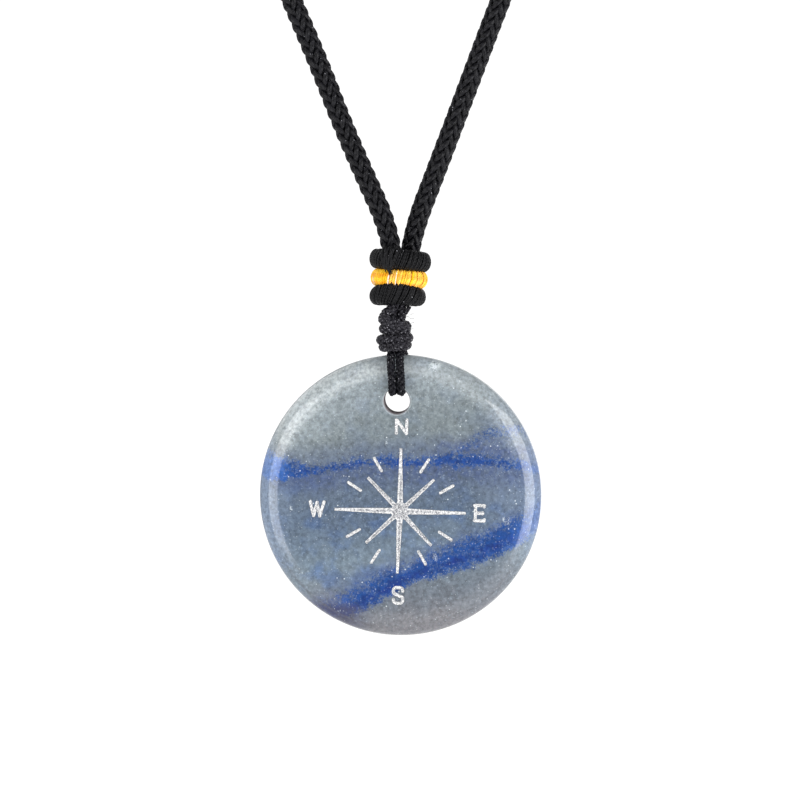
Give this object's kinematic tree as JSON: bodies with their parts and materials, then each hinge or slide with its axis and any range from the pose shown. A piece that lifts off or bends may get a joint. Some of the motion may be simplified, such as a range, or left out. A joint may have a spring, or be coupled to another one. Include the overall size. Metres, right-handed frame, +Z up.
{
  "type": "compass pendant on a neck cord",
  "caption": "Round polished stone pendant with a silver-filled compass rose, hung by a knotted thin cord and wound rings on a closed braided neck cord.",
  "frame": {"origin": "inner side of the neck cord at the middle of the nape, where it rests on the back of the neck", "axes": "+Z up, -Y towards the front that the engraved face looks to, +X to the right as seen from the front"},
  "size_m": [0.1236, 0.1347, 0.2275],
  "materials": {
    "neck_cord": "braided",
    "thin_cord": "braided",
    "black_thread": "wound thread",
    "yellow_thread": "wound thread",
    "stone": "polished",
    "silver_fill": "satin"
  },
  "bodies": {
    "hanger": {"neck_cord": "neck_cord", "upper_ring": "black_thread", "middle_ring": "yellow_thread", "lower_ring": "black_thread", "knot": "thin_cord", "hanging_cord_left": "thin_cord", "hanging_cord_right": "thin_cord"},
    "disc": {"stone_disc": "stone", "compass_star": "silver_fill", "compass_ticks": "silver_fill", "letter_n": "silver_fill", "letter_e": "silver_fill", "letter_s": "silver_fill", "letter_w": "silver_fill"}
  },
  "joints": [
    {"name": "disc_swing", "type": "hinge", "parent": "hanger", "child": "disc", "pos_m": [-0.00043, -0.1275, -0.19246], "axis": [0, 1, 0], "range_deg": [-15, 15]}
  ]
}
